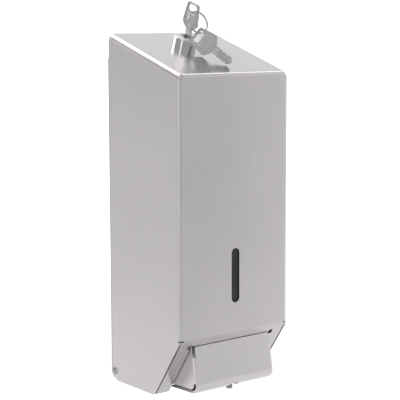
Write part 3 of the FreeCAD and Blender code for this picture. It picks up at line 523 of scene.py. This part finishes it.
def split_ring(bm):
    """Two turns of sprung wire wound side by side, with a step where one turn crosses to the next."""
    turns, steps = 2.0, 150
    cross = math.radians(36)
    first_end = math.radians(200)
    side_by_side = 0.9
    end_thickness, ease_steps = 0.45, 2.0
    centre = ring_top + ring_down * RING_R
    stations = []
    for k in range(steps + 1):
        travel = turns * 2 * math.pi * k / steps
        angle = travel + first_end
        middle = min(max((travel - (2 * math.pi - cross / 2)) / cross, 0.0), 1.0)
        ease = middle * middle * (3 - 2 * middle)
        offset = (ease * 2 - 1) * WIRE_R * side_by_side
        radial = RIGHT * math.sin(angle) - ring_down * math.cos(angle)
        thin = end_thickness + (1 - end_thickness) * min(1.0, min(k, steps - k) / ease_steps)
        stations.append((centre + radial * RING_R + ring_axis * offset, radial, ring_axis, WIRE_R * thin))
    wire(bm, stations)


ring = new_piece("Split_ring", split_ring, "ring_wire", "ring")
ring.data.shade_smooth()
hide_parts("key_ring")

# ---- spare key, hanging from the ring -----------------------------------------------------------
SLOT_ALONG, SLOT_ACROSS = 1.2, 3.7              # mm from the ring's foot to the middle of the key's slot

along = (UP_THE_SLOPE * -0.935 + RIGHT * 0.20 - OUT_OF_ROOF * 0.23).normalized()
width = UP_THE_SLOPE * 0.148 - RIGHT * 0.504 - OUT_OF_ROOF * 0.852
width = (width - along * width.dot(along)).normalized()
through = width.cross(-along)
ring_foot = ring_top + ring_down * (2 * RING_R)
slot_middle = ring_foot + along * SLOT_ALONG * MM + width * SLOT_ACROSS * MM
spare_place = placed(through, width, -along, slot_middle + along * HOLE_Z * MM)
spare = new_piece("Spare_key_on_ring", whole_key, "key_metal", "spare", spare_place)
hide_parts("spare_key")


# ---- return spring of the pump ------------------------------------------------------------------
SPRING_FRONT, SPRING_REAR, PUMP_Z = -87.9 * MM, -81.1 * MM, -136.0 * MM
SPRING_COIL_R, SPRING_WIRE_R = 6.2 * MM, 0.5 * MM


def return_spring(bm):
    """Two open turns of wire round the pump's rod."""
    turns, steps = 2.0, 120
    stations = []
    for k in range(steps + 1):
        share = k / steps
        angle = turns * 2 * math.pi * share
        outward = Vector((math.cos(angle), 0, math.sin(angle)))
        on_axis = Vector((0, SPRING_FRONT + (SPRING_REAR - SPRING_FRONT) * share, PUMP_Z))
        stations.append((on_axis + outward * SPRING_COIL_R, outward, Vector((0, 1, 0)), SPRING_WIRE_R))
    wire(bm, stations)


spring = new_piece("Return_spring", return_spring, "spring_wire", "plunger")
spring.data.shade_smooth()
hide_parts("pump_spring")
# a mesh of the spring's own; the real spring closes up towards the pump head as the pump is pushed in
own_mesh(spring)


# ---- floor, light and camera --------------------------------------------------------------------
def stage_material(name, low, high):
    """Matt pale paper with faint clouding."""
    s = Shader(name)
    cloud = s.noise(3.0, detail=2.0)
    s.link(s.tint(s.remap(cloud, 0.0, 1.0), grey(low), grey(high)), s.bsdf.inputs["Base Color"])
    s.set(Roughness=0.9, Specular_IOR_Level=0.1)
    return s.material


def sweep(bm):
    """Floor that curves up into a backdrop, turned to face the camera."""
    floor_z, near, far, radius, top, half_width = cad_low.z - 0.12, -5.0, 3.0, 1.2, 4.0, 6.0
    steps = 16
    profile = [(near, floor_z), (far - radius, floor_z)]
    for k in range(1, steps + 1):
        turn = math.pi / 2 * k / steps
        y = far - radius + radius * math.sin(turn)
        profile.append((y, floor_z + radius - radius * math.cos(turn)))
    profile.append((far, top))
    rows = [[bm.verts.new((x, y, z)) for x in (-half_width, half_width)] for y, z in profile]
    for a, b in zip(rows, rows[1:]):
        bm.faces.new((a[0], a[1], b[1], b[0]))
    facing = Matrix.Rotation(math.radians(-38), 3, "Z")
    bmesh.ops.rotate(bm, verts=bm.verts, cent=(0, 0, 0), matrix=facing)


def make_floor():
    bm = bmesh.new()
    sweep(bm)
    mesh = bpy.data.meshes.new("Floor")
    bm.to_mesh(mesh)
    bm.free()
    mesh.shade_smooth()
    mesh.materials.append(stage_material("Pale_floor", 0.92, 0.94))
    floor = bpy.data.objects.new("Floor", mesh)
    scene.collection.objects.link(floor)


def make_world():
    scene.world = bpy.data.worlds.new("Studio")
    scene.world.use_nodes = True
    background = scene.world.node_tree.nodes["Background"]
    background.inputs["Color"].default_value = (0.98, 0.99, 1.0, 1)
    background.inputs["Strength"].default_value = 0.68


def direction(azimuth, elevation):
    """Unit vector from the object towards azimuth and elevation, where azimuth 0 is straight in front."""
    level = math.cos(elevation)
    return Vector((math.sin(azimuth) * level, -math.cos(azimuth) * level, math.sin(elevation)))


def soft_light(name, azimuth, elevation, distance, size, power, aim=MIDDLE):
    """Soft panel round the object that the camera can't see, turned to light the point aim."""
    light = bpy.data.lights.new(name, "AREA")
    light.shape = "RECTANGLE"
    light.size, light.size_y = size
    light.energy = power
    lamp = bpy.data.objects.new(name, light)
    lamp.location = MIDDLE + direction(math.radians(azimuth), math.radians(elevation)) * distance
    lamp.rotation_mode = "QUATERNION"
    lamp.rotation_quaternion = (lamp.location - aim).to_track_quat("Z", "Y")
    lamp.visible_camera = False
    scene.collection.objects.link(lamp)


soft_light("Right_strip", 62, 0, 0.6, (0.35, 0.9), 0.5)
soft_light("Front_right_light", 40, 20, 1.5, (0.8, 0.4), 0.3)
soft_light("Left_strip", -73, 12, 1.2, (0.15, 1.0), 1.0)
soft_light("Low_right_light", 85, 28, 0.7, (0.4, 0.4), 0.4, aim=Vector((0.13, -0.08, -0.28)))
soft_light("Low_left_light", -150, 45, 0.8, (0.4, 0.4), 1.7, aim=Vector((-0.17, -0.1, -0.28)))
soft_light("Backdrop_light", 142, 35, 1.6, (2.5, 1.2), 18, aim=Vector((1.6, 2.0, 0.2)))
soft_light("Floor_light", 142, 60, 1.4, (2.0, 1.0), 13, aim=Vector((1.2, 1.5, -0.3)))
soft_light("Left_backdrop_light", -142, 35, 1.6, (2.0, 1.2), 80, aim=Vector((-1.6, 2.0, 1.8)))

CAMERA_AZIMUTH = math.radians(-38.29)
CAMERA_ELEVATION = math.radians(7.0)
CAMERA_ROLL = math.radians(-0.19)
CAMERA_TARGET = Vector((3.87, -50.0, 23.3)) * MM
CAMERA_DISTANCE = 1.0929


def make_camera():
    optics = bpy.data.cameras.new("Camera")
    optics.lens, optics.sensor_width = 111.2, 36.0
    optics.shift_y = -0.06
    optics.clip_start = 0.05
    camera = bpy.data.objects.new("Camera", optics)
    back = direction(CAMERA_AZIMUTH, CAMERA_ELEVATION)
    camera.location = CAMERA_TARGET + back * CAMERA_DISTANCE
    camera.rotation_mode = "QUATERNION"
    look = (-back).to_track_quat("-Z", "Y").to_matrix().to_4x4()
    camera.rotation_quaternion = (look @ Matrix.Rotation(CAMERA_ROLL, 4, "Z")).to_quaternion()
    scene.collection.objects.link(camera)
    scene.camera = camera


make_floor()
make_world()
make_camera()
scene.view_settings.view_transform = "Standard"
